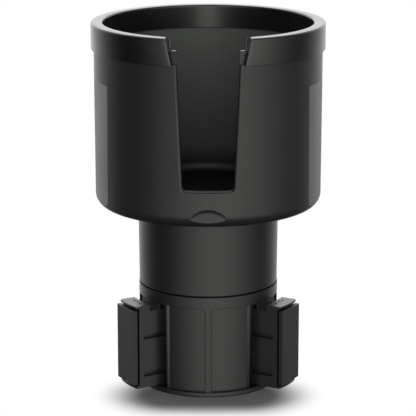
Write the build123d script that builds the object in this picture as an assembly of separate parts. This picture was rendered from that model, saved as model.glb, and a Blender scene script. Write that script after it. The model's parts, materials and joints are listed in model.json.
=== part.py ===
from build123d import *
import math
import os

# Expanding cup holder for a car. Its foot stands in the vehicle's own cup well. Turning the cup
# and neck against the foot drives three rubber-faced arms outwards until they grip the well.
# Origin: centre of the flat underside. Z points up, the handle slot faces -Y. All in millimetres.

# Base plate
plate_edge = 0.6
plate_thickness = 2.5
plate_edge_round = 0.8

# Housing that holds the arms
housing_radius = 35.5
housing_wall = 2.4
collar_height = 5.75
window_top_half = 13.9
window_foot_half = 14.6
guide_wall = 1.6
jamb_inset = 5.3
jamb_foot_thickness = 2.0
jamb_top_thickness = 3.7
boss_radius = 3.2
boss_inset = 4.55
boss_web = 2.0

# Places of the arms about the centre
arm_names = ("rear", "left", "right")
rear_arm_angle = 90
arm_step_angle = 360 / len(arm_names)

# Recessed panels on the columns of the housing
panel_depth = 1.1
panel_rib_half = 1.5
panel_top_angle = 36.4
panel_foot_angle = 35.3
panel_bevel_top = 1.2
panel_bevel_foot = 0.5
panel_corner = 2.2

# Sliding arms
arm_half = 8.5
arm_height = 43.2
arm_boss_gap = 2.2
arm_stop_inset = 1.3
arm_stop_width = 1.3
arm_channel_width = 4.6
arm_notch_width = 1.7
arm_channel_depth = 3.1
arm_face_reach = 9.4
lip_overhang = 1.6
lip_arch = 0.9
lip_top_thickness = 1.2
lip_foot_thickness = 1.4
arm_travel = 12.5
groove_low = 5.9
groove_pitch = 19.8
groove_height = 2.45
groove_depth = 2.2
groove_end_land = 2.4
rail_start = 12.0
core_half = 5.2
core_wall = 2.2
core_roof = 12.0
core_web = 2.0
dimple_pitch = 3.3
dimple_radius = 0.75
dimple_depth = 1.2
dimple_inset = 3.4

# Rubber pads on the arms
pad_reach = 3.7
pad_thickness = 2.5
pad_overhang = 0.1
pad_lip_gap = 0.8
pad_key_half = 5.6
pad_key_end_land = 3.0
pad_key_depth = 1.4
pad_round = 0.4
pad_hole_radius = 0.5
pad_hole_depth = 1.0
pad_hole_height = 0.9

# Drive: follower pins, guide deck and spiral cam
pin_radius = 2.0
pin_inset = 6.15
pin_seat_depth = 10.0
pin_top_gap = 0.4
deck_thickness = 2.1
deck_boss_radius = 5.0
deck_boss_height = 8.0
cam_thickness = 2.7
cam_inset = 0.85
cam_turn_angle = 100
spiral_steps = 8
cam_screw_inset = 4.8
cam_screw_angle = 60

# Spindle and its washers
spindle_radius = 3.0
spindle_thread_radius = 2.5
spindle_head_radius = 5.5
spindle_head_height = 3.5
spindle_socket = 2.3
spindle_socket_depth = 2.0
washer_radius = 7.0
steel_washer_thickness = 1.0
friction_washer_thickness = 0.8

# Neck
neck_inset = 0.2
neck_flare = 0.4
neck_wall = 2.4
neck_length = 40.25
neck_web = 2.4
neck_top_web = 2.8
neck_access_radius = 14.0
hub_radius = 8.0
hub_height = 6.4
seam_gap = 0.8
cam_boss_height = 8.0

# Cup
cup_radius = 57.5
cup_draft = 0.25
cup_wall = 3.5
cup_height = 87.1
cup_floor = 3.0
cup_outer_round = 6.2
cup_inner_round = 5.5
slot_top_half = 15.3
slot_foot_half = 12.4
slot_sill = 18.5
slot_corner = 2.1
slot_edge_round = 1.2
cup_screw_inset = 8.6
cup_boss_depth = 12.0

# Shallow scoops on the sides of the cup
scoop_top = 65.3
scoop_near_angle = 1.8
scoop_far_angle = 31.0
scoop_hollow = 160.0
scoop_corner = 2.2
scoop_runout = 30.0

# Thumb notch under the front of the cup
notch_top = 11.0
notch_arch = 16.3
notch_depth = 0.9
notch_cove = 3.6

# Soft rim
rim_outer_wall = 1.4
rim_inner_wall = 1.1
rim_seat_depth = 1.2
rim_seat_height = 6.6
rim_cover = 6.1
rim_skirt = 13.2
rim_inner_skirt = 11.9
rim_outer_round = 1.0
rim_inner_round = 1.0
rim_gap_top_angle = 20.3
rim_gap_foot_angle = 17.5
rim_end_round = 0.8

# Mat in the bottom of the cup
mat_thickness = 2.2
mat_margin = 0.2

# Screws, all countersunk
screw_radius = 1.5
screw_head_radius = 2.9
screw_head_depth = 1.7
head_recess = 0.2
cup_screw_length = 12.0
base_screw_length = 14.0
deck_screw_length = 10.0
cam_screw_length = 9.0
driver_slot_width = 0.8
driver_slot_depth = 0.9

# Clearances
deck_gap = 0.5
slide_gap = 0.3
guide_gap = 0.4
running_gap = 0.3
follower_gap = 0.3
bearing_gap = 0.06
spigot_gap = 0.3
fit_gap = 0.05
rim_fit_gap = 0.1
thread_gap = 0.05
head_gap = 0.1

# Heights of the stack, worked out from the sizes above
arm_foot = plate_thickness + slide_gap
arm_top = arm_foot + arm_height
deck_foot = arm_top + deck_gap
deck_top = deck_foot + deck_thickness
cam_foot = deck_top + running_gap
cam_top = cam_foot + cam_thickness
collar_top = deck_foot + collar_height
neck_foot = collar_top + seam_gap
neck_top = neck_foot + neck_length
hub_top = cam_top + hub_height
friction_top = hub_top + friction_washer_thickness
head_foot = friction_top + steel_washer_thickness
floor_top = neck_top + cup_floor
cup_top = neck_top + cup_height
rim_top = cup_top + rim_cover
rim_shoulder = cup_top - rim_seat_height

# Radii and half widths, worked out the same way
housing_bore = housing_radius - housing_wall
plate_radius = housing_radius + plate_edge
boss_circle = housing_bore - boss_inset
jamb_radius = housing_bore - jamb_inset
jamb_reach = math.sqrt(housing_bore**2 - jamb_radius**2)
guide_half = arm_half + guide_gap
pin_circle = housing_bore - pin_inset
cam_radius = housing_bore - cam_inset
cam_screw_circle = cam_radius - cam_screw_inset
arm_inner_end = deck_boss_radius + arm_travel + arm_boss_gap
arm_stop_face = housing_radius - arm_stop_inset
arm_notch_face = arm_stop_face - arm_stop_width
arm_channel_end = arm_stop_face + arm_channel_width
arm_face = housing_radius + arm_face_reach
lip_corner = arm_face + lip_overhang
lip_crown = lip_corner + lip_arch
pad_face = arm_face + pad_reach
pad_half = arm_half + pad_overhang
neck_radius = housing_radius - neck_inset
neck_top_radius = neck_radius + neck_flare
neck_bore = neck_radius - neck_wall
cup_screw_circle = neck_bore - cup_screw_inset
cup_foot_radius = cup_radius - cup_draft
rim_radius = cup_radius + rim_outer_wall
rim_bore = cup_radius - cup_wall - rim_inner_wall
rim_seat_radius = cup_radius - rim_seat_depth


def disc(radius, low, high):
    """Solid disc about the vertical axis between two heights."""
    return extrude(Plane.XY.offset(low) * Circle(radius), high - low)


def ring(outer, inner, low, high):
    """Ring about the vertical axis between two heights."""
    return disc(outer, low, high) - disc(inner, low, high)


def block(inner, outer, side_from, side_to, low, high):
    """Straight block that lies along +X, given by its two ends, sides and heights."""
    size = (outer - inner, side_to - side_from, high - low)
    return Pos(inner, side_from, low) * Box(*size, align=Align.MIN)


def polygon(*points):
    """Flat outline through points given in the drawing's own coordinates."""
    return Polygon(*points, align=None)


def turned(section):
    """Solid of revolution of a section drawn as radius and height."""
    return revolve(Plane.XZ * section, Axis.Z)


def turn(angle):
    """Placement turned about the vertical axis."""
    return Rot(0, 0, angle)


def at(radius, angle):
    """Placement at a radius and an angle about the vertical axis."""
    return turn(angle) * Pos(radius, 0)


def arm_angles():
    return [rear_arm_angle + arm_step_angle * number for number in range(len(arm_names))]


def column_angles():
    """Angles of the three columns, midway between the arms."""
    return [angle + arm_step_angle / 2 for angle in arm_angles()]


def cup_screw_angles():
    return [45, 135, 225, 315]


def cam_screw_angles():
    """Angles of the cam's screws, each halfway along a spiral slot and outside it."""
    return [angle - cam_screw_angle for angle in arm_angles()]


def screw(length):
    """Countersunk screw with its head's flat face at height zero and its point downwards."""
    head = Pos(0, 0, -screw_head_depth / 2) * Cone(screw_radius, screw_head_radius, screw_head_depth)
    shank = disc(screw_radius, -length, 0)
    slot = Box(2 * screw_radius, driver_slot_width, 2 * driver_slot_depth)
    return head + shank - slot - turn(90) * slot


def screw_hole(length):
    """Hole that a screw of this length sits in, with its countersink at height zero."""
    sink = Cone(screw_radius + thread_gap, screw_head_radius + head_gap, screw_head_depth + head_gap)
    bore = disc(screw_radius + thread_gap, -length - head_gap, 0)
    mouth = disc(screw_head_radius + head_gap, 0, head_recess)
    return bore + mouth + Pos(0, 0, -(screw_head_depth + head_gap) / 2) * sink


def screws_down(radius, angles, face):
    """Placements of a ring of screws driven downwards, their heads recessed in a face."""
    return [at(radius, angle) * Pos(0, 0, face - head_recess) for angle in angles]


def screws_up(radius, angles, face):
    """Placements of a ring of screws driven upwards, their heads recessed in a face."""
    return [at(radius, angle) * Pos(0, 0, face + head_recess) * Rot(180, 0, 0) for angle in angles]


def cup_screw_places():
    return screws_down(cup_screw_circle, cup_screw_angles(), floor_top)


def base_screw_places():
    return screws_up(boss_circle, column_angles(), 0)


def deck_screw_places():
    return screws_down(boss_circle, column_angles(), deck_top)


def cam_screw_places():
    return screws_up(cam_screw_circle, cam_screw_angles(), cam_foot)


def screws(places, length):
    """A ring of equal screws as separate solids."""
    return Compound(children=[place * screw(length) for place in places])


def cup_section():
    """Half section of the cup: drafted wall thinned for the rim, rounded bottom, flat floor."""
    inner_top = cup_radius - cup_wall
    inner_foot = cup_foot_radius - cup_wall
    outer = polygon(
        (0, neck_top), (cup_foot_radius, neck_top), (cup_radius, rim_shoulder),
        (rim_seat_radius, rim_shoulder), (rim_seat_radius, cup_top), (0, cup_top))
    outer = fillet(outer.vertices().group_by(Axis.Y)[0].sort_by(Axis.X)[-1], cup_outer_round)
    inner = polygon((0, floor_top), (inner_foot, floor_top), (inner_top, cup_top), (0, cup_top))
    inner = fillet(inner.vertices().group_by(Axis.Y)[0].sort_by(Axis.X)[-1], cup_inner_round)
    return outer - inner


def handle_slot():
    """Cutter of the slot for a mug's handle, rounded at its lower corners and open at the top."""
    sill = neck_top + slot_sill
    outline = polygon(
        (slot_foot_half, sill), (slot_top_half, cup_top),
        (-slot_top_half, cup_top), (-slot_foot_half, sill))
    outline = fillet(outline.vertices().group_by(Axis.Y)[0], slot_corner)
    return extrude(Plane.XZ * outline, cup_radius + cup_wall)


def is_slot_edge(edge):
    """True for an outer edge of the handle slot, at either side or along the sill."""
    middle = edge.center()
    outside = math.hypot(middle.X, middle.Y) > cup_foot_radius - fit_gap
    above_sill = middle.Z > neck_top + slot_sill - slot_edge_round
    below_rim = middle.Z < rim_shoulder - slot_edge_round
    return outside and above_sill and below_rim and middle.Y < 0 and abs(middle.X) < slot_top_half


def scoop():
    """Cutter of one shallow scoop beside the +X side of the cup, hollow in plan."""
    outside = cup_radius + fit_gap
    near = Vector(outside, 0).rotate(Axis.Z, -scoop_near_angle)
    far = Vector(outside, 0).rotate(Axis.Z, -scoop_far_angle)
    reach = cup_radius + cup_wall
    near_out = Vector(reach, 0).rotate(Axis.Z, -scoop_near_angle)
    far_out = Vector(reach, 0).rotate(Axis.Z, -scoop_far_angle)
    hollow = RadiusArc(near, far, scoop_hollow)
    rest = Polyline(far, far_out, near_out, near)
    plan = make_face(hollow + rest)
    cutter = extrude(Plane.XY.offset(neck_top - scoop_runout) * plan, scoop_runout + scoop_top)
    corner = cutter.edges().group_by(Axis.Z)[-1].sort_by(Axis.Y)[0]
    return fillet(corner, scoop_corner)


def thumb_notch():
    """Cutter of the lens-shaped thumb notch low on the front of the cup, flat with a coved edge."""
    middle = neck_top + notch_top - notch_arch
    bar = Cylinder(notch_arch, cup_wall * 2, align=(Align.CENTER, Align.CENTER, Align.MIN))
    bar = fillet(bar.edges().sort_by(Axis.Z)[0], notch_cove)
    return Pos(0, -cup_foot_radius + notch_depth, middle) * Rot(90, 0, 0) * bar


def make_cup_shell():
    cup = turned(cup_section()) - handle_slot()
    for mirror_x in (False, True):
        for mirror_y in (False, True):
            cutter = scoop()
            if mirror_x:
                cutter = mirror(cutter, Plane.YZ)
            if mirror_y:
                cutter = mirror(cutter, Plane.XZ)
            cup -= cutter
    cup -= thumb_notch()
    cup = fillet([edge for edge in cup.edges() if is_slot_edge(edge)], slot_edge_round)
    for place in cup_screw_places():
        cup -= place * screw_hole(cup_screw_length)
    return cup


def rim_gap_plan(half_angle):
    """Plan of the rim's gap at one height, bounded by two radial lines."""
    side = Vector(0, -2 * rim_radius).rotate(Axis.Z, half_angle)
    return make_face(Polyline((0, 0), side, Vector(-side.X, side.Y), (0, 0)))


def make_rim_ring():
    """Soft channel ring that caps the wall of the cup, cut away over the handle slot."""
    low = rim_top - rim_skirt
    section = Pos(rim_bore, low) * Rectangle(rim_radius - rim_bore, rim_skirt, align=Align.MIN)
    section = fillet(section.vertices().group_by(Axis.Y)[-1].sort_by(Axis.X)[-1], rim_outer_round)
    section = fillet(section.vertices().group_by(Axis.Y)[-1].sort_by(Axis.X)[0], rim_inner_round)
    inner_face = cup_radius - cup_wall - rim_fit_gap
    hang = (Align.MIN, Align.MAX)
    channel = Rectangle(rim_seat_radius + rim_fit_gap - inner_face, rim_skirt, align=hang)
    section -= Pos(inner_face, cup_top) * channel
    step = Rectangle(cup_radius + rim_fit_gap - inner_face, rim_skirt, align=hang)
    section -= Pos(inner_face, rim_shoulder + rim_fit_gap) * step
    trim = Rectangle(inner_face, rim_skirt, align=hang)
    section -= Pos(0, rim_top - rim_inner_skirt) * trim
    foot = Plane.XY.offset(low) * rim_gap_plan(rim_gap_foot_angle)
    top = Plane.XY.offset(rim_top) * rim_gap_plan(rim_gap_top_angle)
    whole = turned(section) - loft([foot, top], ruled=True)
    ends = [edge for edge in whole.edges() if is_rim_end(edge)]
    return fillet(ends, rim_end_round)


def is_rim_end(edge):
    """True for the long outer edge of either end of the rim."""
    middle = edge.center()
    outside = math.hypot(middle.X, middle.Y) > rim_radius - fit_gap
    upright = edge.bounding_box().size.Z > rim_skirt / 2
    return outside and upright and middle.Y < 0


def make_cup_mat():
    radius = cup_foot_radius - cup_wall - cup_inner_round - mat_margin
    mat = disc(radius, floor_top, floor_top + mat_thickness)
    return chamfer(mat.edges().group_by(Axis.Z)[-1], mat_margin * 2)


def make_neck_tube():
    """Neck: tube with a top web for the cup and a bottom web that carries the cam and hub."""
    neck = Pos(0, 0, neck_foot) * Cone(
        neck_radius, neck_top_radius, neck_length, align=(Align.CENTER, Align.CENTER, Align.MIN))
    neck -= disc(neck_bore, neck_foot, neck_top)
    neck += disc(housing_bore - spigot_gap, cam_top, cam_top + neck_web)
    neck += disc(neck_bore + neck_wall / 2, neck_foot, cam_top + neck_web)
    neck += ring(neck_bore + neck_wall / 2, neck_access_radius, neck_top - neck_top_web, neck_top)
    neck += disc(hub_radius, cam_top, hub_top)
    for angle in cup_screw_angles():
        neck += at(cup_screw_circle, angle) * disc(boss_radius, neck_top - cup_boss_depth, neck_top)
    for angle in cam_screw_angles():
        neck += at(cam_screw_circle, angle) * disc(boss_radius, cam_top, cam_top + cam_boss_height)
    neck -= disc(spindle_radius + bearing_gap, cam_top, hub_top)
    for place in cup_screw_places():
        neck -= place * screw_hole(cup_screw_length)
    for place in cam_screw_places():
        neck -= place * screw_hole(cam_screw_length)
    return neck


def spiral_slot(start_angle):
    """Cutter of one cam slot: its middle line comes inwards evenly with the turn of the cam."""
    points = []
    for step in range(spiral_steps + 1):
        share = step / spiral_steps
        radius = pin_circle - arm_travel * share
        points.append(Vector(radius, 0).rotate(Axis.Z, start_angle - cam_turn_angle * share))
    width = 2 * (pin_radius + follower_gap)
    plan = trace(Spline(points), width)
    plan += [Pos(point) * Circle(width / 2) for point in (points[0], points[-1])]
    return extrude(Plane.XY.offset(cam_foot) * plan, cam_thickness)


def make_cam_disc():
    cam = disc(cam_radius, cam_foot, cam_top) - disc(spindle_radius + running_gap, cam_foot, cam_top)
    for angle in arm_angles():
        cam -= spiral_slot(angle)
    for place in cam_screw_places():
        cam -= place * screw_hole(cam_screw_length)
    return cam


def make_guide_deck():
    """Deck over the arms: a straight slot for each follower pin, and the boss for the spindle."""
    deck = disc(housing_bore - fit_gap, deck_foot, deck_top)
    deck += disc(deck_boss_radius, deck_foot - deck_boss_height, deck_foot)
    deck -= disc(spindle_thread_radius + thread_gap, deck_foot - deck_boss_height, deck_top)
    slot = SlotOverall(arm_travel + 2 * (pin_radius + follower_gap), 2 * (pin_radius + follower_gap))
    cutter = extrude(Plane.XY.offset(deck_foot) * slot, deck_thickness)
    for angle in arm_angles():
        deck -= at(pin_circle - arm_travel / 2, angle) * cutter
    for place in deck_screw_places():
        deck -= place * screw_hole(deck_screw_length)
    return deck


def window():
    """Cutter of the opening for the arm along +X, wider at its foot."""
    foot = plate_thickness
    outline = polygon(
        (-window_foot_half, foot), (window_foot_half, foot),
        (window_top_half, deck_foot), (-window_top_half, deck_foot))
    return extrude(Plane.YZ * outline, housing_radius * 2)


def panel():
    """Cutter of one recessed panel, beside the rib of the column along +X."""
    floor = housing_radius - panel_depth
    top = panel_plan(panel_top_angle, panel_bevel_top, floor)
    foot = panel_plan(panel_foot_angle, panel_bevel_foot, floor)
    cutter = loft([Plane.XY.offset(plate_thickness) * foot, Plane.XY.offset(deck_foot) * top], ruled=True)
    corner = cutter.edges().group_by(Axis.Z)[-1].sort_by(Axis.Y)[0]
    return fillet(corner, panel_corner)


def panel_plan(edge_angle, bevel, floor):
    """Plan of a panel's recess, with a bevel along its outer edge."""
    outside = housing_radius + panel_depth
    rib_floor = (math.sqrt(floor**2 - panel_rib_half**2), panel_rib_half)
    rib_outside = (math.sqrt(outside**2 - panel_rib_half**2), panel_rib_half)
    bevel_angle = edge_angle - math.degrees(bevel / housing_radius)
    floor_end = Vector(floor, 0).rotate(Axis.Z, bevel_angle)
    floor_middle = Vector(floor, 0).rotate(Axis.Z, bevel_angle / 2)
    edge = Vector(housing_radius, 0).rotate(Axis.Z, edge_angle)
    edge_outside = Vector(outside, 0).rotate(Axis.Z, edge_angle)
    outside_middle = Vector(outside, 0).rotate(Axis.Z, edge_angle / 2)
    lines = Line(rib_outside, rib_floor) + ThreePointArc(rib_floor, floor_middle, floor_end)
    lines += Polyline(floor_end, edge, edge_outside)
    lines += ThreePointArc(edge_outside, outside_middle, rib_outside)
    return make_face(lines)


def groove_feet():
    """Lower edges of the two grooves along each side of an arm."""
    return [arm_foot + groove_low + groove_pitch * number for number in range(2)]


def arm_guides():
    """Guide walls, jambs and rails on both sides of the arm along +X."""
    meet = guide_half / math.tan(math.radians(arm_step_angle / 2))
    wall = block(meet, housing_bore, guide_half, guide_half + guide_wall, plate_thickness, deck_foot)
    wall += block(jamb_radius, housing_radius, guide_half, jamb_reach, plate_thickness, deck_foot)
    jamb_foot = jamb_radius + jamb_foot_thickness
    jamb_top = jamb_radius + jamb_top_thickness
    outside = polygon(
        (jamb_foot, plate_thickness), (housing_radius * 2, plate_thickness),
        (housing_radius * 2, deck_foot), (jamb_top, deck_foot))
    rail_end = arm_face - groove_end_land - arm_travel - running_gap
    for groove in groove_feet():
        low = groove + slide_gap
        high = groove + groove_height - slide_gap
        near = guide_half - groove_depth + fit_gap
        wall += block(rail_start, rail_end, near, guide_half + fit_gap, low, high)
    wall -= extrude(Plane.XZ * outside, -window_foot_half)
    return wall + mirror(wall, Plane.XZ)


def make_base_housing():
    """Housing moulding: collar, three columns with panels, guide walls with rails, screw bosses."""
    housing = ring(housing_radius, housing_bore, plate_thickness, collar_top)
    for angle in arm_angles():
        housing -= turn(angle) * window()
    inside = disc(housing_radius - fit_gap, plate_thickness, deck_foot)
    for angle in arm_angles():
        housing += (turn(angle) * arm_guides()) & inside
    for angle in column_angles():
        boss = at(boss_circle, angle) * disc(boss_radius, plate_thickness, deck_foot)
        web_end = housing_bore + housing_wall / 2
        web = block(boss_circle, web_end, -boss_web / 2, boss_web / 2, plate_thickness, deck_foot)
        housing += boss + turn(angle) * web
        recess = panel()
        housing -= turn(angle) * recess
        housing -= turn(angle) * mirror(recess, Plane.XZ)
    for place in deck_screw_places():
        housing -= place * screw_hole(deck_screw_length)
    for place in base_screw_places():
        housing -= place * screw_hole(base_screw_length)
    return housing


def make_base_plate():
    plate = disc(plate_radius, 0, plate_thickness)
    plate = fillet(plate.edges().group_by(Axis.Z)[0], plate_edge_round)
    for place in base_screw_places():
        plate -= place * screw_hole(base_screw_length)
    return plate


def lip(low, high):
    """Arched lip at the outer end of an arm, above or below its pad."""
    corner = (lip_corner, arm_half)
    other = (lip_corner, -arm_half)
    back = (arm_channel_end, -arm_half)
    other_back = (arm_channel_end, arm_half)
    edge = ThreePointArc(corner, (lip_crown, 0), other)
    plan = make_face(edge + Polyline(other, back, other_back, corner))
    return extrude(Plane.XY.offset(low) * plan, high - low)


def make_arm():
    """Arm along +X in the extended position: slider, grooves, stop, arched lips and pad pocket."""
    arm = block(arm_inner_end, arm_face, -arm_half, arm_half, arm_foot, arm_top)
    arm += lip(arm_foot, arm_foot + lip_foot_thickness)
    arm += lip(arm_top - lip_top_thickness, arm_top)
    channel_floor = arm_top - arm_channel_depth
    for end, width in ((arm_channel_end, arm_channel_width), (arm_notch_face, arm_notch_width)):
        arm -= block(end - width, end, -arm_half, arm_half, channel_floor, arm_top)
    groove_end = arm_face - groove_end_land
    for low in groove_feet():
        for side in (-arm_half, arm_half - groove_depth):
            arm -= block(arm_inner_end, groove_end, side, side + groove_depth, low, low + groove_height)
    core_end = arm_face - pad_key_depth - core_wall
    core_low = arm_foot + core_wall
    core_high = arm_top - core_roof
    middle = (core_low + core_high) / 2
    arm -= block(arm_inner_end, core_end, -core_half, core_half, core_low, middle - core_web / 2)
    arm -= block(arm_inner_end, core_end, -core_half, core_half, middle + core_web / 2, core_high)
    arm -= pad_key(fit_gap)
    arm -= Pos(pin_circle, 0) * disc(pin_radius + fit_gap, arm_top - pin_seat_depth, arm_top)
    dimple = disc(dimple_radius, arm_top - dimple_depth, arm_top)
    for step in (-1, 0, 1):
        arm -= Pos(arm_face - dimple_inset, step * dimple_pitch) * dimple
    return arm


def pad_low():
    return arm_foot + lip_foot_thickness + pad_lip_gap


def pad_high():
    return arm_top - lip_top_thickness - pad_lip_gap


def pad_key(gap):
    """Key on the back of a pad, grown all round by a gap for the pocket that takes it."""
    low = pad_low() + pad_key_end_land - gap
    high = pad_high() - pad_key_end_land + gap
    inner = arm_face - pad_key_depth
    return block(inner, pad_face - pad_thickness, -pad_key_half - gap, pad_key_half + gap, low, high)


def make_pad():
    """Rubber pad along +X: plate that stands off the arm on a key seated in the arm."""
    pad = block(pad_face - pad_thickness, pad_face, -pad_half, pad_half, pad_low(), pad_high())
    pad = fillet(pad.edges().group_by(Axis.X)[-1], pad_round)
    pad += pad_key(0)
    hole = Pos(pad_face, 0, pad_low() + pad_hole_height)
    return pad - hole * Rot(0, 90, 0) * Cylinder(pad_hole_radius, 2 * pad_hole_depth)


def make_pin():
    """Steel follower pin along +X: seated in the arm, up through the deck into the cam."""
    pin = disc(pin_radius, arm_top - pin_seat_depth, cam_top - pin_top_gap)
    return Pos(pin_circle, 0) * chamfer(pin.edges().group_by(Axis.Z)[-1], pin_top_gap)


def make_spindle():
    """Shoulder screw on which the neck turns: threaded into the boss, clamped on the deck."""
    spindle = disc(spindle_thread_radius, deck_foot - deck_boss_height, deck_top)
    spindle += disc(spindle_radius, deck_top, head_foot)
    head = disc(spindle_head_radius, head_foot, head_foot + spindle_head_height)
    spindle += chamfer(head.edges().group_by(Axis.Z)[-1], pin_top_gap)
    socket = RegularPolygon(spindle_socket, 6)
    top = head_foot + spindle_head_height
    return spindle - extrude(Plane.XY.offset(top - spindle_socket_depth) * socket, spindle_socket_depth)


nodes = {
    "cup_shell": make_cup_shell(),
    "rim_ring": make_rim_ring(),
    "cup_mat": make_cup_mat(),
    "cup_screws": screws(cup_screw_places(), cup_screw_length),
    "neck_tube": make_neck_tube(),
    "cam_disc": make_cam_disc(),
    "cam_screws": screws(cam_screw_places(), cam_screw_length),
    "spindle": make_spindle(),
    "spindle_washer": ring(washer_radius, spindle_radius + running_gap, friction_top, head_foot),
    "friction_washer": ring(washer_radius, spindle_radius + running_gap, hub_top, friction_top),
    "guide_deck": make_guide_deck(),
    "deck_screws": screws(deck_screw_places(), deck_screw_length),
    "base_housing": make_base_housing(),
    "base_plate": make_base_plate(),
    "base_screws": screws(base_screw_places(), base_screw_length),
}
for name, angle in zip(arm_names, arm_angles()):
    nodes["arm_" + name] = turn(angle) * make_arm()
    nodes["pad_" + name] = turn(angle) * make_pad()
    nodes["pin_" + name] = turn(angle) * make_pin()

os.makedirs("parts", exist_ok=True)
for name, solid in nodes.items():
    export_step(solid, "parts/" + name + ".step")
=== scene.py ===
# %% [markdown]
# # An expanding cup holder for a car
#
# The holder stands in the vehicle's own cup well. A wide cup with a handle slot and a soft rim sits
# on a neck, and turning it drives three rubber-faced arms out of the foot until they grip the well.
#
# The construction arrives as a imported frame: every piece is already at its real size and place, and
# nothing here moves it. This lesson gives each piece its finish, remakes the soft rubber pieces with
# the roundings that rubber has, and sets up the studio.

# %% The frame
import json
import math

import bmesh
import bpy
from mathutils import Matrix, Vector


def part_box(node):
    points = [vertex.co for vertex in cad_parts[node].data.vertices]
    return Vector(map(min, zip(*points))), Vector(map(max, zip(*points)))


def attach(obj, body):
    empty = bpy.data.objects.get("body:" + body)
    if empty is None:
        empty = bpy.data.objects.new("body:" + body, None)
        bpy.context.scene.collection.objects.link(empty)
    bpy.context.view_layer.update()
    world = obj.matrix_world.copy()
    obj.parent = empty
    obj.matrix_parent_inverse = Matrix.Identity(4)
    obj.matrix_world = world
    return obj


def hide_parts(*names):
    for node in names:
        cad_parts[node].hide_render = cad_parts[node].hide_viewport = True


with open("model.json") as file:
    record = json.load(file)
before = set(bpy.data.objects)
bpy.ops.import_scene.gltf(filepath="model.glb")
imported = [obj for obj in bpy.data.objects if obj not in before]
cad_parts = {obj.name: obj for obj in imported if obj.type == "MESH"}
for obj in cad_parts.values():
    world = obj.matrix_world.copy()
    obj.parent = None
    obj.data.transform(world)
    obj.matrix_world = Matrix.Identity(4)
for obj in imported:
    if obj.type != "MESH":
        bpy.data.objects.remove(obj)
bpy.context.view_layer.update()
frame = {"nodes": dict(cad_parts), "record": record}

NODES = frame["nodes"]
MM = 0.001

# %% [markdown]
# ## Shader sums written as plain sums
#
# A finish is mostly arithmetic: a bit of noise, times a mask, plus a base value. Nodes could be
# placed and linked one by one, but then the sum is lost in the wiring. Here a small class wraps an
# output socket, and the usual operators add the node that works them out. Numbers go through Math,
# vectors through Vector Math and colours through Mix, because Math would turn a colour grey.

# %% A socket that can be added and multiplied
class Wire:
    """An output socket. Sums on it add the nodes that work them out."""

    def __init__(self, socket):
        self.socket = socket

    def node(self, kind, settings=None, inputs=None, output=0):
        """Adds any node: its settings first, then the values or links of its sockets."""
        tree = self.socket.id_data
        made = tree.nodes.new(kind)
        for name, value in (settings or {}).items():
            setattr(made, name, value)
        for name, value in (inputs or {}).items():
            feed(made.inputs[name], value)
        return Wire(made.outputs[output])

    def total(self, operation, other, swapped=False):
        """One sum of two values, vectors or colours."""
        pair = (other, self) if swapped else (self, other)
        kinds = {part.socket.type for part in pair if isinstance(part, Wire)}
        if "RGBA" in kinds:
            settings = {"data_type": "RGBA", "blend_type": operation}
            return self.node("ShaderNodeMix", settings, {0: 1.0, 6: pair[0], 7: pair[1]}, 2)
        if "VECTOR" in kinds:
            return self.node("ShaderNodeVectorMath", {"operation": operation}, dict(enumerate(pair)))
        return self.node("ShaderNodeMath", {"operation": operation}, dict(enumerate(pair)))

    def __add__(self, other):
        return self.total("ADD", other)

    def __radd__(self, other):
        return self.total("ADD", other, swapped=True)

    def __sub__(self, other):
        return self.total("SUBTRACT", other)

    def __rsub__(self, other):
        return self.total("SUBTRACT", other, swapped=True)

    def __mul__(self, other):
        return self.total("MULTIPLY", other)

    def __pow__(self, other):
        return self.total("POWER", other)

    def part(self, index):
        """One component of a vector."""
        return self.node("ShaderNodeSeparateXYZ", None, {0: self}, index)

    def between(self, low, high):
        """A smooth step from nought at low to one at high."""
        settings = {"interpolation_type": "SMOOTHSTEP"}
        return self.node("ShaderNodeMapRange", settings, {0: self, 1: low, 2: high})

    def blend(self, dark, light):
        """A colour between two others, by this value."""
        return self.node("ShaderNodeMix", {"data_type": "RGBA"}, {0: self, 6: dark, 7: light}, 2)


def feed(socket, value):
    """Gives a socket a link or a value."""
    if isinstance(value, Wire):
        socket.id_data.links.new(value.socket, socket)
    elif socket.type == "RGBA" and len(value) == 3:
        socket.default_value = (*value, 1.0)
    else:
        socket.default_value = value


# %% [markdown]
# ## Where a finish starts
#
# Every finish starts from the place on the piece, in metres, so that the grain has its real size on
# a large shell and on a small arm alike. Two masks come back in all of them: a soft cloudy one for
# the way a moulding cools, and one that finds the edges, where wear or dust changes the gloss.

# %% Place, clouds, grain and edges
BEVEL_RAYS = 4
EDGE_START = 0.004
EDGE_FULL = 0.09


def start(name):
    """A new material with its surface shader and the place on the piece in metres."""
    material = bpy.data.materials.new(name)
    material.use_nodes = True
    tree = material.node_tree
    shader = tree.nodes["Principled BSDF"]
    place = Wire(tree.nodes.new("ShaderNodeTexCoord").outputs["Object"])
    return material, shader, place


def noise(place, size, detail=2.0, roughness=0.5):
    """Noise from nought to one whose patches are about the given size in metres."""
    inputs = {"Vector": place, "Scale": 1.0 / size, "Detail": detail, "Roughness": roughness}
    return place.node("ShaderNodeTexNoise", None, inputs)


def grain(place, size):
    """Small rounded pits, as spark erosion leaves them in a mould."""
    inputs = {"Vector": place, "Scale": 1.0 / size}
    return place.node("ShaderNodeTexVoronoi", {"feature": "SMOOTH_F1"}, inputs)


def rounded(place, radius):
    """The surface's direction with its sharp edges rounded off by a radius."""
    return place.node("ShaderNodeBevel", {"samples": BEVEL_RAYS}, {"Radius": radius})


def edge_mask(place, soft):
    """One along the edges and nought on the flats."""
    flat = place.node("ShaderNodeNewGeometry", output=1)
    match = soft.node("ShaderNodeVectorMath", {"operation": "DOT_PRODUCT"}, {0: soft, 1: flat}, 1)
    return (1 - match).between(EDGE_START, EDGE_FULL)


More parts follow.
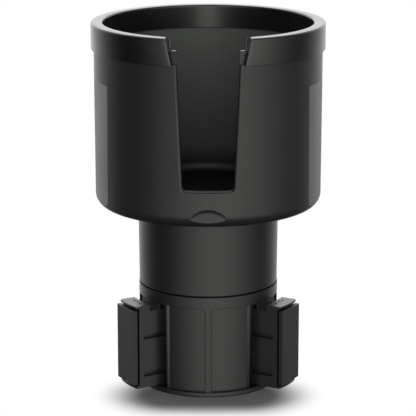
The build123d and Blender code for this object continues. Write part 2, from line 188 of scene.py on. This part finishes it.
def bump(place, height, depth, normal):
    """Relief of a given depth in metres on top of a surface direction."""
    inputs = {"Strength": 1.0, "Distance": depth, "Height": height, "Normal": normal}
    return place.node("ShaderNodeBump", None, inputs)


# %% [markdown]
# ## Moulded plastic
#
# The cup, neck, foot and arms are injection mouldings in black plastic with a fine satin texture.
# Black plastic has almost no colour of its own: what the eye reads is the broad, soft gloss. So the
# base colour stays very dark with a slight green-grey cast, and the work goes into the roughness.
# It drifts a little with the clouds and the grain. Along the edges it drops where hands rub the
# piece, and rises on the foot, where dust gathers. The inside of the cup is duller, and its upper
# wall has a paler colour: painted light, standing in for light falling in from above.

# %% Plastic finishes
GLOSS_TINT = (0.96, 1.0, 0.94, 1.0)
INSIDE_PAINTED_LIGHT = (0.066, 0.070, 0.066)
EDGE_SHINE = -0.07
EDGE_GRIME = 0.55
HAND_EDGE = 0.25 * MM
FOOT_EDGE = 0.6 * MM
CLOUD_SIZE = 18 * MM
PIT_SIZE = 0.35 * MM
SPECK_SIZE = 0.9 * MM
HAZE_SIZE = 0.12 * MM
PIT_DEPTH = 0.006 * MM
WALL_RADII = (55 * MM, 54 * MM)
INSIDE_HEIGHTS = (101 * MM, 112 * MM)
FLAT = (1.0, 1.0, 0.0)


def moulded(name, colour, lighter, roughness, edge_radius=HAND_EDGE, edge_change=EDGE_SHINE):
    """Injection-moulded plastic, finely spark-eroded, coarser inside the cup, with painted light on its
    upper wall.
    """
    material, shader, place = start(name)
    soft = rounded(place, edge_radius)
    edge = edge_mask(place, soft)
    clouds = noise(place, CLOUD_SIZE)
    pits = grain(place, PIT_SIZE)
    specks = noise(place, SPECK_SIZE, 3.0)
    tone = (clouds * 0.35 + specks * 0.35 + edge * 0.3).between(0.2, 0.8)
    from_axis = place.node("ShaderNodeVectorMath", {"operation": "LENGTH"}, {0: place * FLAT}, 1)
    # Inside the cup the roughness rises, and above a height the wall takes a paler colour: painted light
    # from above.
    inside = from_axis.between(*WALL_RADII) * place.part(2).between(*INSIDE_HEIGHTS)
    feed(shader.inputs["Base Color"], inside.blend(tone.blend(colour, lighter), INSIDE_PAINTED_LIGHT))
    drift = clouds * 0.05 + specks * 0.05 + inside * 0.14 + edge * edge_change
    feed(shader.inputs["Roughness"], roughness - 0.05 + drift)
    shader.inputs["Specular Tint"].default_value = GLOSS_TINT
    height = pits + noise(place, HAZE_SIZE) * 0.5
    feed(shader.inputs["Normal"], bump(place, height, PIT_DEPTH, soft))
    return material


CUP_BLACK = (0.0085, 0.0091, 0.0086)
CUP_WORN = (0.0125, 0.0132, 0.0126)
FOOT_BLACK = (0.0070, 0.0076, 0.0072)
FOOT_WORN = (0.0105, 0.0112, 0.0106)
NATURAL = (0.55, 0.54, 0.50)
NATURAL_WORN = (0.63, 0.62, 0.58)
finishes = {
    "cup_plastic": moulded("cup_plastic", CUP_BLACK, CUP_WORN, 0.42),
    "neck_plastic": moulded("neck_plastic", FOOT_BLACK, FOOT_WORN, 0.40),
    "base_plastic": moulded("base_plastic", FOOT_BLACK, FOOT_WORN, 0.40, FOOT_EDGE, EDGE_GRIME),
    "arm_plastic": moulded("arm_plastic", FOOT_BLACK, FOOT_WORN, 0.38),
    "drive_plastic": moulded("drive_plastic", NATURAL, NATURAL_WORN, 0.38),
}
print("moulded finishes:", ", ".join(finishes))

# %% [markdown]
# ## Rubber
#
# The rim, the mat, the pads and the friction washer are soft. Rubber scatters its gloss more than
# plastic does, and it carries a fine bloom: pale dust in the pores that lifts the colour in patches.

# %% Rubber finishes
PLAIN_GLOSS = 0.5
RUBBER_EDGE = 0.25 * MM
PATCH_SIZE = 7 * MM
PORE_SIZE = 0.22 * MM
PORE_DEPTH = 0.012 * MM


def rubber(name, colour, bloom, roughness, gloss=PLAIN_GLOSS):
    """Moulded rubber: matt, with fine pores and a patchy bloom."""
    material, shader, place = start(name)
    soft = rounded(place, RUBBER_EDGE)
    edge = edge_mask(place, soft)
    patches = noise(place, PATCH_SIZE, 4.0, 0.6)
    pores = noise(place, PORE_SIZE, 2.0, 0.7)
    dust = (patches * 0.6 + pores * 0.3 + edge * 0.2).between(0.3, 0.95)
    feed(shader.inputs["Base Color"], dust.blend(colour, bloom))
    feed(shader.inputs["Roughness"], roughness + dust * 0.1 - edge * 0.05 - 0.04)
    shader.inputs["Specular IOR Level"].default_value = gloss
    shader.inputs["Specular Tint"].default_value = GLOSS_TINT
    feed(shader.inputs["Normal"], bump(place, pores + patches * 0.3, PORE_DEPTH, soft))
    return material


RIM_BLACK = (0.0030, 0.0032, 0.0030)
RIM_BLOOM = (0.0055, 0.0058, 0.0055)
PAD_BLACK = (0.006, 0.0063, 0.006)
PAD_BLOOM = (0.012, 0.0125, 0.012)
MAT_BLACK = (0.0018, 0.0019, 0.0018)
MAT_BLOOM = (0.0030, 0.0031, 0.0030)
WASHER_BLACK = (0.02, 0.02, 0.02)
WASHER_BLOOM = (0.035, 0.035, 0.034)
finishes["rim_soft"] = rubber("rim_soft", RIM_BLACK, RIM_BLOOM, 0.32, 0.64)
finishes["pad_rubber"] = rubber("pad_rubber", PAD_BLACK, PAD_BLOOM, 0.46)
finishes["mat_rubber"] = rubber("mat_rubber", MAT_BLACK, MAT_BLOOM, 0.60, 0.2)
finishes["friction_rubber"] = rubber("friction_rubber", WASHER_BLACK, WASHER_BLOOM, 0.6)
print("with rubber:", len(finishes), "finishes")

# %% [markdown]
# ## Steel
#
# The screws, pins, spindle and washer are turned or rolled steel. The tool leaves fine rings across
# the axis, so the bump and the roughness follow the height, stretched into thin bands.

# %% Steel finish
STEEL_DULL = (0.42, 0.42, 0.41)
STEEL_BRIGHT = (0.60, 0.60, 0.59)
STEEL_EDGE = 0.12 * MM
RING_STRETCH = (0.15, 0.15, 6.0)
RING_SIZE = 0.9 * MM
RING_DEPTH = 0.004 * MM
OIL_SIZE = 4 * MM


def turned_steel(name):
    """Bright steel with the fine rings that a lathe leaves."""
    material, shader, place = start(name)
    soft = rounded(place, STEEL_EDGE)
    edge = edge_mask(place, soft)
    rings = noise(place * RING_STRETCH, RING_SIZE, 4.0, 0.6)
    oil = noise(place, OIL_SIZE, 3.0)
    feed(shader.inputs["Base Color"], oil.between(0.3, 0.8).blend(STEEL_DULL, STEEL_BRIGHT))
    shader.inputs["Metallic"].default_value = 1.0
    feed(shader.inputs["Roughness"], 0.24 + rings * 0.16 + oil * 0.08 - edge * 0.06)
    feed(shader.inputs["Normal"], bump(place, rings, RING_DEPTH, soft))
    return material


finishes["steel"] = turned_steel("steel")
print("with steel:", len(finishes), "finishes")

# %% [markdown]
# ## A finish on every piece
#
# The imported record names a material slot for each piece. The finish takes the slot's name, so a
# piece is dressed by looking its own slot up. A list of pieces by hand would do too, but it would
# have to be kept in step with the record.

# %% Dressing the pieces
slots = {part["node"]: part["material_slot"] for part in frame["record"]["subparts"]}
for node, piece in NODES.items():
    piece.data.materials.clear()
    piece.data.materials.append(finishes[slots[node]])
print("dressed", len(slots), "pieces in", len(set(slots.values())), "finishes")

# %% [markdown]
# ## The soft rim
#
# On the real holder the rim is a channel of soft rubber, pushed over the top edge of the cup and cut
# away above the handle slot. Its ends slope with the slot, and their upper corners are rounded.
#
# A curve with a profile would sweep the channel, but it couldn't slope or round the ends. So the rim
# is lofted: one outline of the channel is set down at many angles round the axis, and where each of
# its points starts depends on its height. Near the ends the outer face and the bore draw in a
# little, as a rubber edge does. The radius, height and bore come from the frame. The rest of the
# section repeats the construction's sizes, so the channel keeps its form.

# %% The rim's outline
RIM_LOWEST, RIM_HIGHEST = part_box("rim_ring")
RIM_RADIUS = RIM_HIGHEST[0]
RIM_TOP = RIM_HIGHEST[2]
RIM_HEIGHT = RIM_TOP - RIM_LOWEST[2]
BORE = next(mount["dims"] for mount in frame["record"]["mounts"] if mount["name"] == "cup_bore")
RIM_WIDTH = RIM_RADIUS - BORE["r_mm"] * MM
CHANNEL_INNER = 5.0 * MM
CHANNEL_OUTER = 2.5 * MM
CHANNEL_ROOF = 6.1 * MM
SHOULDER = 12.6 * MM
SKIRT_THICKNESS = 1.3 * MM
TOP_ROUND = 1.0 * MM
INNER_SKIRT = TOP_ROUND + BORE["length_mm"] * MM
FOOT_ROUND = 0.15 * MM
CORNER_ROUND = 1.8 * MM
END_ROUND = 1.0 * MM
BORE_ROUND = 0.7 * MM
GAP_TOP_ANGLE = 20.3
GAP_FOOT_ANGLE = 17.5
STATIONS = 180
END_STATIONS = (0.0, 0.1, 0.3, 0.6)
SHARP_ANGLE = 40


def quarter(middle_in, middle_down, radius, start, steps=6):
    """Points of a quarter circle, as distances in from the outer face and down from the top."""
    angles = [math.radians(start + 90 * step / steps) for step in range(steps + 1)]
    return [(middle_in - radius * math.cos(a), middle_down - radius * math.sin(a)) for a in angles]


def rim_outline():
    """The channel's outline, as distances in from the outer face and down from the top."""
    steps = [TOP_ROUND + (CORNER_ROUND - TOP_ROUND) * share / 3 for share in (3, 2, 1)]
    outline = quarter(FOOT_ROUND, RIM_HEIGHT - FOOT_ROUND, FOOT_ROUND, -90)
    outline += [(0.0, down) for down in steps]
    outline += quarter(TOP_ROUND, TOP_ROUND, TOP_ROUND, 0)
    outline += quarter(RIM_WIDTH - TOP_ROUND, TOP_ROUND, TOP_ROUND, 90)
    outline += [(RIM_WIDTH, down) for down in reversed(steps)]
    outline += [(RIM_WIDTH, INNER_SKIRT), (CHANNEL_INNER, INNER_SKIRT), (CHANNEL_INNER, CHANNEL_ROOF)]
    outline += [(CHANNEL_OUTER, CHANNEL_ROOF), (CHANNEL_OUTER, SHOULDER)]
    return outline + [(SKIRT_THICKNESS, SHOULDER), (SKIRT_THICKNESS, RIM_HEIGHT)]


# %% The loft
def drawn_in(left, radius):
    """How far a rounded edge draws in where this much of its radius is left."""
    left = max(left, 0.0)
    return radius - math.sqrt(radius**2 - left**2)


def rim_point(inwards, down, along, share):
    """One point of the rim: along is the distance from an end, share the part of the way round."""
    slope = GAP_TOP_ANGLE + (GAP_FOOT_ANGLE - GAP_TOP_ANGLE) * down / RIM_HEIGHT
    start = math.radians(slope) + drawn_in(CORNER_ROUND - down, CORNER_ROUND) / RIM_RADIUS
    sweep = 2 * (math.pi - start - END_ROUND / RIM_RADIUS)
    angle = start + along / RIM_RADIUS + sweep * share
    from_end = along if share == 0 else 2 * END_ROUND - along
    from_bore = RIM_WIDTH - inwards
    if inwards < END_ROUND:
        inwards += drawn_in(END_ROUND - from_end, END_ROUND) * (1 - inwards / END_ROUND)
    if from_bore < BORE_ROUND:
        inwards -= drawn_in(BORE_ROUND - from_end, BORE_ROUND) * (1 - from_bore / BORE_ROUND)
    radius = RIM_RADIUS - inwards
    return radius * math.sin(angle), -radius * math.cos(angle), RIM_TOP - down


def rim_mesh():
    """The whole rim as a lofted mesh with closed ends."""
    near = [END_ROUND * share for share in END_STATIONS]
    stations = [(along, 0) for along in near]
    stations += [(END_ROUND, number / STATIONS) for number in range(STATIONS + 1)]
    stations += [(2 * END_ROUND - along, 1) for along in reversed(near)]
    form = bmesh.new()
    outline = rim_outline()
    loops = []
    for station in stations:
        loops.append([form.verts.new(rim_point(*place, *station)) for place in outline])
    count = len(outline)
    for one, two in zip(loops, loops[1:]):
        for index in range(count):
            after = (index + 1) % count
            form.faces.new((one[index], one[after], two[after], two[index]))
    caps = [form.faces.new(loops[0]), form.faces.new(loops[-1])]
    bmesh.ops.triangulate(form, faces=caps)
    bmesh.ops.recalc_face_normals(form, faces=form.faces)
    made = bpy.data.meshes.new("soft_rim")
    form.to_mesh(made)
    form.free()
    made.shade_smooth()
    made.set_sharp_from_angle(angle=math.radians(SHARP_ANGLE))
    return made


# %% [markdown]
# ## The pads and the mat
#
# The pads and the mat are rubber too. Their shapes are right in the construction, but rubber has no
# hard corners, so each is copied into a piece of its own. A weld joins the faces, and a narrow bevel
# rounds the edges: enough to catch a line of light, too little to change the form.

# %% The soft pieces
HARD_ANGLE = 35
WELD_REACH = 0.01 * MM
BEVEL_STEPS = 3
PAD_EDGE = 0.25 * MM
MAT_EDGE = 0.3 * MM
SOFT_EDGES = {"pad_left": PAD_EDGE, "pad_right": PAD_EDGE, "pad_rear": PAD_EDGE, "cup_mat": MAT_EDGE}
bodies = frame["record"]["behaviour"]["bodies"]
body_of = {node: body for body, held in bodies.items() for node in held}


def soft_piece(name, shape, node):
    """A piece that takes the place, the body and the finish of a node."""
    piece = bpy.data.objects.new(name, shape)
    bpy.context.collection.objects.link(piece)
    piece.data.materials.clear()
    piece.data.materials.append(finishes[slots[node]])
    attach(piece, body_of[node])
    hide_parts(node)
    return piece


soft_piece("soft_rim", rim_mesh(), "rim_ring")
for node, width in SOFT_EDGES.items():
    piece = soft_piece("soft_" + node, NODES[node].data.copy(), node)
    joined = piece.modifiers.new("joined", "WELD")
    joined.merge_threshold = WELD_REACH
    edges = piece.modifiers.new("edges", "BEVEL")
    edges.width = width
    edges.segments = BEVEL_STEPS
    edges.limit_method = "ANGLE"
    edges.angle_limit = math.radians(HARD_ANGLE)
    piece.modifiers.new("normals", "WEIGHTED_NORMAL")
print("soft pieces: the rim,", ", ".join(SOFT_EDGES))

# %% [markdown]
# ## The studio
#
# A black glossy thing is lit by what it reflects. The room is bright behind the piece and in front
# of it, and dark at both sides, overhead and below. That gives a pale edge along each silhouette, a
# dark band inside it, and a broad soft light down the middle.
#
# Big lamps could do it, but each would show its own outline in the gloss. So the room is the world:
# one brightness by direction. The lens sees it plain white.

# %% The room
FRONT_LIGHT = 2.1
BACK_LIGHT = 2.2
RIGHT_LIGHT = 0.10
SIDE_LIGHT = 0.03
FRONT_AIM = (0.2, -1.0, 0.05)
BACK_AIM = (-0.06, 1.0, 0.35)
RIGHT_AIM = (1.0, 0.2, 0.0)
LIGHT_SPREAD = 2.0
FRONT_UPRIGHT = 0.5
CEILING = (0.82, 0.55)
SKIRTING = (-0.72, -0.25)
WHITE = (1.0, 1.0, 1.0, 1.0)

world = bpy.data.worlds.new("room")
bpy.context.scene.world = world
world.use_nodes = True
room = world.node_tree
direction = Wire(room.nodes.new("ShaderNodeTexCoord").outputs["Generated"])


def glow(towards, upright=1.0):
    """Light from one direction, taller with a smaller upright."""
    aim = Vector(towards).normalized()
    look = direction * (1.0, 1.0, upright)
    look = look.node("ShaderNodeVectorMath", {"operation": "NORMALIZE"}, {0: look})
    facing = look.node("ShaderNodeVectorMath", {"operation": "DOT_PRODUCT"}, {0: look, 1: aim}, 1)
    return facing.node("ShaderNodeMath", {"operation": "MAXIMUM"}, {0: facing, 1: 0.0}) ** LIGHT_SPREAD


height = direction.part(2)
below_ceiling = height.between(*CEILING)
above_floor = height.between(*SKIRTING)
front = glow(FRONT_AIM, FRONT_UPRIGHT) * below_ceiling * FRONT_LIGHT
behind = glow(BACK_AIM) * BACK_LIGHT
right = glow(RIGHT_AIM) * RIGHT_LIGHT
brightness = (front + behind + right) * above_floor + SIDE_LIGHT
seen_by_lens = direction.node("ShaderNodeLightPath")
backdrop = room.nodes["Background"]
backdrop.inputs["Color"].default_value = WHITE
feed(backdrop.inputs["Strength"], brightness + (1 - brightness) * seen_by_lens)
print("the room:", len(room.nodes), "nodes")

# %% [markdown]
# ## The floor and its shadow
#
# The foot stands in a small soft shadow on white paper. A white floor would throw its own light up
# into the gloss, so the floor is grey and isn't seen in it. Away from the foot the lens is shown
# plain white instead, through a soft mask that paints the shadow's outline and soft edge: a
# painted shadow edge, centred a little ahead of the foot, around the lamp's real shadow.
#
# The lamp overhead only draws that shadow: it is linked to the floor and lights nothing else.

# %% The floor
FLOOR_HALF = 3.0
FLOOR_GREY = (0.26, 0.26, 0.26, 1.0)
FLOOR_ROUGHNESS = 0.9
NOUGHT = (0.0, 0.0, 0.0)
SHADOW_CENTRE = (0.0, -0.0335, 0.0)
SHADOW_HALF = (0.0203, 0.0, 0.0)
SHADOW_CORE = 0.011
SHADOW_END = 0.040

mesh = bpy.data.meshes.new("floor")
corners = [(x * FLOOR_HALF, y * FLOOR_HALF, 0.0) for x, y in ((-1, -1), (1, -1), (1, 1), (-1, 1))]
mesh.from_pydata(corners, [], [(0, 1, 2, 3)])
floor = bpy.data.objects.new("floor", mesh)
bpy.context.collection.objects.link(floor)
floor_paint, floor_shader, floor_place = start("floor_paint")
floor_shader.inputs["Base Color"].default_value = FLOOR_GREY
floor_shader.inputs["Roughness"].default_value = FLOOR_ROUGHNESS
floor_shader.inputs["Specular IOR Level"].default_value = 0.0
offset = floor_place - SHADOW_CENTRE
offset = offset.node("ShaderNodeVectorMath", {"operation": "ABSOLUTE"}, {0: offset}) - SHADOW_HALF
offset = offset.node("ShaderNodeVectorMath", {"operation": "MAXIMUM"}, {0: offset, 1: NOUGHT})
distance = offset.node("ShaderNodeVectorMath", {"operation": "LENGTH"}, {0: offset}, 1)
# Painted shadow edge: from the core to the end the floor fades to painted white, which sets the shadow's
# outline and softness.
far = distance.between(SHADOW_CORE, SHADOW_END)
white = far.node("ShaderNodeEmission", None, {"Strength": 1.0})
lens = far.node("ShaderNodeLightPath")
shown = far.node("ShaderNodeMixShader", None, {0: far * lens, 1: Wire(floor_shader.outputs[0]), 2: white})
feed(floor_paint.node_tree.nodes["Material Output"].inputs["Surface"], shown)
floor.data.materials.append(floor_paint)
floor.visible_glossy = False

# %% The light that draws the shadow
LAMP_WIDTH = 0.15
LAMP_POWER = 35.0
LAMP_PLACE = (0.0, 0.0, 1.1)

lamp_data = bpy.data.lights.new("overhead", "AREA")
lamp_data.shape = "DISK"
lamp_data.size = LAMP_WIDTH
lamp_data.energy = LAMP_POWER
lamp = bpy.data.objects.new("overhead", lamp_data)
lamp.location = LAMP_PLACE
bpy.context.collection.objects.link(lamp)
shadow_ground = bpy.data.collections.new("shadow_ground")
shadow_ground.objects.link(floor)
lamp.light_linking.receiver_collection = shadow_ground

# %% [markdown]
# ## The camera
#
# The view is that of a shop's picture: straight on and a little from above, through a long lens, so
# that the upright edges stay nearly parallel.

# %% The camera
FRAME_WIDTH = 416.0
FOCAL_LENGTH = 2100.0
SENSOR_WIDTH = 36.0
LOOK_DOWN = 14.09
LENS_SHIFT = -0.0005
NEAREST = 0.05
CAMERA_PLACE = (0.0, -1.04189, 0.35135)

camera_data = bpy.data.cameras.new("camera")
camera_data.sensor_width = SENSOR_WIDTH
camera_data.lens = FOCAL_LENGTH * SENSOR_WIDTH / FRAME_WIDTH
camera_data.shift_x = LENS_SHIFT
camera_data.clip_start = NEAREST
camera = bpy.data.objects.new("camera", camera_data)
camera.location = CAMERA_PLACE
camera.rotation_euler = (math.radians(90 - LOOK_DOWN), 0.0, 0.0)
bpy.context.collection.objects.link(camera)
bpy.context.scene.camera = camera
bpy.context.scene.view_settings.view_transform = "Standard"
print("camera:", round(camera_data.lens), "mm lens")
